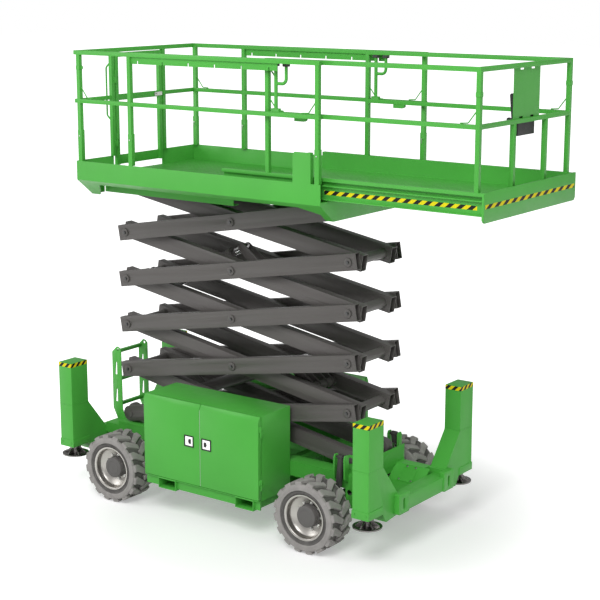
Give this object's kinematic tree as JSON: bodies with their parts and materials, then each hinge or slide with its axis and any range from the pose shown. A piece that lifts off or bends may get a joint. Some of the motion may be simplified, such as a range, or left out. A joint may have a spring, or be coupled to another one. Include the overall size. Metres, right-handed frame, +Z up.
{
  "type": "scissor lift",
  "caption": "Rough-terrain scissor lift with jack legs on corner towers, steered front wheels, side cabinets and a railed platform with a roll-out deck.",
  "frame": {"origin": "on the ground at the middle of the overall length and width", "axes": "+X forward to the steered end and the roll-out deck, +Y to the left, +Z up"},
  "size_m": [4.6619, 1.767, 4.288],
  "materials": {
    "green_paint": "gloss",
    "arm_paint": "satin",
    "black_paint": "satin",
    "tyre": "matt",
    "rim_metal": "satin",
    "jack_chrome": "polished",
    "rod_chrome": "polished",
    "battery_case": "matt",
    "control_plastic": "matt"
  },
  "bodies": {
    "chassis": {"chassis_frame": "green_paint", "front_axle": "black_paint", "rear_axle": "black_paint", "cabinet_right": "green_paint", "cabinet_left": "green_paint", "fork_pockets": "green_paint", "jack_towers": "green_paint", "end_beams": "green_paint", "ladder": "green_paint", "battery_pack": "battery_case", "hydraulic_unit": "black_paint", "axle_lock_cylinders": "black_paint"},
    "steering_left": {"knuckle_left": "black_paint"},
    "steering_right": {"knuckle_right": "black_paint"},
    "tie_rod": {"tie_rod": "black_paint"},
    "wheel_front_left": {"tyre_front_left": "tyre", "rim_front_left": "rim_metal"},
    "jack_front_left": {"jack_leg_front_left": "jack_chrome"},
    "cabinet_door_front_left": {"door_front_left": "green_paint"},
    "wheel_front_right": {"tyre_front_right": "tyre", "rim_front_right": "rim_metal"},
    "jack_front_right": {"jack_leg_front_right": "jack_chrome"},
    "cabinet_door_front_right": {"door_front_right": "green_paint"},
    "wheel_rear_left": {"tyre_rear_left": "tyre", "rim_rear_left": "rim_metal"},
    "jack_rear_left": {"jack_leg_rear_left": "jack_chrome"},
    "cabinet_door_rear_left": {"door_rear_left": "green_paint"},
    "wheel_rear_right": {"tyre_rear_right": "tyre", "rim_rear_right": "rim_metal"},
    "jack_rear_right": {"jack_leg_rear_right": "jack_chrome"},
    "cabinet_door_rear_right": {"door_rear_right": "green_paint"},
    "inner_arm_1": {"inner_arm_1": "arm_paint"},
    "outer_arm_1": {"outer_arm_1": "arm_paint"},
    "inner_arm_2": {"inner_arm_2": "arm_paint"},
    "outer_arm_2": {"outer_arm_2": "arm_paint"},
    "inner_arm_3": {"inner_arm_3": "arm_paint"},
    "outer_arm_3": {"outer_arm_3": "arm_paint"},
    "inner_arm_4": {"inner_arm_4": "arm_paint"},
    "outer_arm_4": {"outer_arm_4": "arm_paint"},
    "inner_arm_5": {"inner_arm_5": "arm_paint"},
    "outer_arm_5": {"outer_arm_5": "arm_paint"},
    "lower_barrels": {"lower_barrels": "arm_paint"},
    "lower_rods": {"lower_rods": "rod_chrome"},
    "upper_barrel": {"upper_barrel": "arm_paint"},
    "upper_rod": {"upper_rod": "rod_chrome"},
    "platform": {"platform_deck": "green_paint", "main_guardrail_left": "green_paint", "main_guardrail_right": "green_paint", "rear_guardrail": "green_paint"},
    "gate": {"gate": "green_paint"},
    "extension": {"extension_deck": "green_paint", "extension_guardrail": "green_paint", "control_box": "control_plastic"}
  },
  "joints": [
    {"name": "lift", "type": "hinge", "parent": "chassis", "child": "inner_arm_1", "pos_m": [0.778, 0, 0.729], "axis": [0, 1, 0], "range_deg": [-6.29, 48.23]},
    {"name": "middle_pin_1", "type": "hinge", "parent": "inner_arm_1", "child": "outer_arm_1", "pos_m": [-0.52247, 0, 0.95525], "axis": [0, 1, 0], "range_deg": [-96.56, 12.68]},
    {"name": "front_pin_1", "type": "hinge", "parent": "outer_arm_1", "child": "inner_arm_2", "pos_m": [0.778, 0, 1.1815], "axis": [0, 1, 0], "range_deg": [-12.68, 96.56]},
    {"name": "middle_pin_2", "type": "hinge", "parent": "inner_arm_2", "child": "outer_arm_2", "pos_m": [-0.52247, 0, 1.40775], "axis": [0, 1, 0], "range_deg": [-96.56, 12.68]},
    {"name": "front_pin_2", "type": "hinge", "parent": "outer_arm_2", "child": "inner_arm_3", "pos_m": [0.778, 0, 1.634], "axis": [0, 1, 0], "range_deg": [-12.68, 96.56]},
    {"name": "middle_pin_3", "type": "hinge", "parent": "inner_arm_3", "child": "outer_arm_3", "pos_m": [-0.52247, 0, 1.86025], "axis": [0, 1, 0], "range_deg": [-96.56, 12.68]},
    {"name": "front_pin_3", "type": "hinge", "parent": "outer_arm_3", "child": "inner_arm_4", "pos_m": [0.778, 0, 2.0865], "axis": [0, 1, 0], "range_deg": [-12.68, 96.56]},
    {"name": "middle_pin_4", "type": "hinge", "parent": "inner_arm_4", "child": "outer_arm_4", "pos_m": [-0.52247, 0, 2.31275], "axis": [0, 1, 0], "range_deg": [-96.56, 12.68]},
    {"name": "front_pin_4", "type": "hinge", "parent": "outer_arm_4", "child": "inner_arm_5", "pos_m": [0.778, 0, 2.539], "axis": [0, 1, 0], "range_deg": [-12.68, 96.56]},
    {"name": "middle_pin_5", "type": "hinge", "parent": "inner_arm_5", "child": "outer_arm_5", "pos_m": [-0.52247, 0, 2.76525], "axis": [0, 1, 0], "range_deg": [-96.56, 12.68]},
    {"name": "platform_pin", "type": "hinge", "parent": "outer_arm_5", "child": "platform", "pos_m": [0.778, 0, 2.9915], "axis": [0, 1, 0], "range_deg": [-6.39, 48.33]},
    {"name": "lower_cylinders_base", "type": "hinge", "parent": "inner_arm_1", "child": "lower_barrels", "pos_m": [-1.2624, 0, 0.9784], "axis": [0, 1, 0], "range_deg": [-85.11, 11.19]},
    {"name": "lower_cylinders_stroke", "type": "slide", "parent": "lower_barrels", "child": "lower_rods", "axis": [0.9305, 0, 0.3662], "range_m": [-0.04, 0.2933]},
    {"name": "upper_cylinder_base", "type": "hinge", "parent": "inner_arm_3", "child": "upper_barrel", "pos_m": [-1.6083, 0, 1.9781], "axis": [0, 1, 0], "range_deg": [-90.62, 11.91]},
    {"name": "upper_cylinder_stroke", "type": "slide", "parent": "upper_barrel", "child": "upper_rod", "axis": [0.892, 0, 0.452], "range_m": [-0.0842, 0.6322]},
    {"name": "steer_left", "type": "hinge", "parent": "chassis", "child": "steering_left", "pos_m": [0.666, 0.52, 0.33], "axis": [0, 0, 1], "range_deg": [-30, 30]},
    {"name": "steer_right", "type": "hinge", "parent": "chassis", "child": "steering_right", "pos_m": [0.666, -0.52, 0.33], "axis": [0, 0, 1], "range_deg": [-30.1, 30.1]},
    {"name": "tie_rod_end", "type": "hinge", "parent": "steering_left", "child": "tie_rod", "pos_m": [0.536, 0.52, 0.31], "axis": [0, 0, 1], "range_deg": [-30.1, 30.1]},
    {"name": "roll_front_left", "type": "hinge", "parent": "steering_left", "child": "wheel_front_left", "pos_m": [0.666, 0.725, 0.33], "axis": [0, 1, 0], "continuous": true},
    {"name": "roll_front_right", "type": "hinge", "parent": "steering_right", "child": "wheel_front_right", "pos_m": [0.666, -0.725, 0.33], "axis": [0, 1, 0], "continuous": true},
    {"name": "roll_rear_left", "type": "hinge", "parent": "chassis", "child": "wheel_rear_left", "pos_m": [-1.624, 0.725, 0.33], "axis": [0, 1, 0], "continuous": true},
    {"name": "roll_rear_right", "type": "hinge", "parent": "chassis", "child": "wheel_rear_right", "pos_m": [-1.624, -0.725, 0.33], "axis": [0, 1, 0], "continuous": true},
    {"name": "jack_front_left_stroke", "type": "slide", "parent": "chassis", "child": "jack_front_left", "axis": [0, 0, -1], "range_m": [0, 0.42]},
    {"name": "jack_front_right_stroke", "type": "slide", "parent": "chassis", "child": "jack_front_right", "axis": [0, 0, -1], "range_m": [0, 0.42]},
    {"name": "jack_rear_left_stroke", "type": "slide", "parent": "chassis", "child": "jack_rear_left", "axis": [0, 0, -1], "range_m": [0, 0.42]},
    {"name": "jack_rear_right_stroke", "type": "slide", "parent": "chassis", "child": "jack_rear_right", "axis": [0, 0, -1], "range_m": [0, 0.42]},
    {"name": "door_rear_left_hinge", "type": "hinge", "parent": "chassis", "child": "cabinet_door_rear_left", "pos_m": [-1.174, 0.845, 0.77], "axis": [0, 0, 1], "range_deg": [0, 115]},
    {"name": "door_rear_right_hinge", "type": "hinge", "parent": "chassis", "child": "cabinet_door_rear_right", "pos_m": [-1.174, -0.845, 0.77], "axis": [0, 0, -1], "range_deg": [0, 115]},
    {"name": "door_front_left_hinge", "type": "hinge", "parent": "chassis", "child": "cabinet_door_front_left", "pos_m": [0.189, 0.845, 0.77], "axis": [0, 0, -1], "range_deg": [0, 115]},
    {"name": "door_front_right_hinge", "type": "hinge", "parent": "chassis", "child": "cabinet_door_front_right", "pos_m": [0.189, -0.845, 0.77], "axis": [0, 0, 1], "range_deg": [0, 115]},
    {"name": "extension_slide", "type": "slide", "parent": "platform", "child": "extension", "axis": [1, 0, 0], "range_m": [-1.49, 0]},
    {"name": "gate_hinge", "type": "hinge", "parent": "platform", "child": "gate", "pos_m": [-1.918, -0.337, 3.7], "axis": [0, 0, -1], "range_deg": [0, 90]}
  ],
  "couplings": [
    {"joint": "middle_pin_1", "follows": "lift", "ratio": -2},
    {"joint": "front_pin_1", "follows": "lift", "ratio": 2},
    {"joint": "middle_pin_2", "follows": "lift", "ratio": -2},
    {"joint": "front_pin_2", "follows": "lift", "ratio": 2},
    {"joint": "middle_pin_3", "follows": "lift", "ratio": -2},
    {"joint": "front_pin_3", "follows": "lift", "ratio": 2},
    {"joint": "middle_pin_4", "follows": "lift", "ratio": -2},
    {"joint": "front_pin_4", "follows": "lift", "ratio": 2},
    {"joint": "middle_pin_5", "follows": "lift", "ratio": -2},
    {"joint": "platform_pin", "follows": "lift", "ratio": 1},
    {"joint": "lower_cylinders_base", "follows": "lift", "ratio": -1.7626},
    {"joint": "lower_cylinders_stroke", "follows": "lift", "m_per_rad": 0.34609},
    {"joint": "upper_cylinder_base", "follows": "lift", "ratio": -1.8768},
    {"joint": "upper_cylinder_stroke", "follows": "lift", "m_per_rad": 0.74867},
    {"joint": "steer_right", "follows": "steer_left", "ratio": 1},
    {"joint": "tie_rod_end", "follows": "steer_left", "ratio": -1}
  ]
}
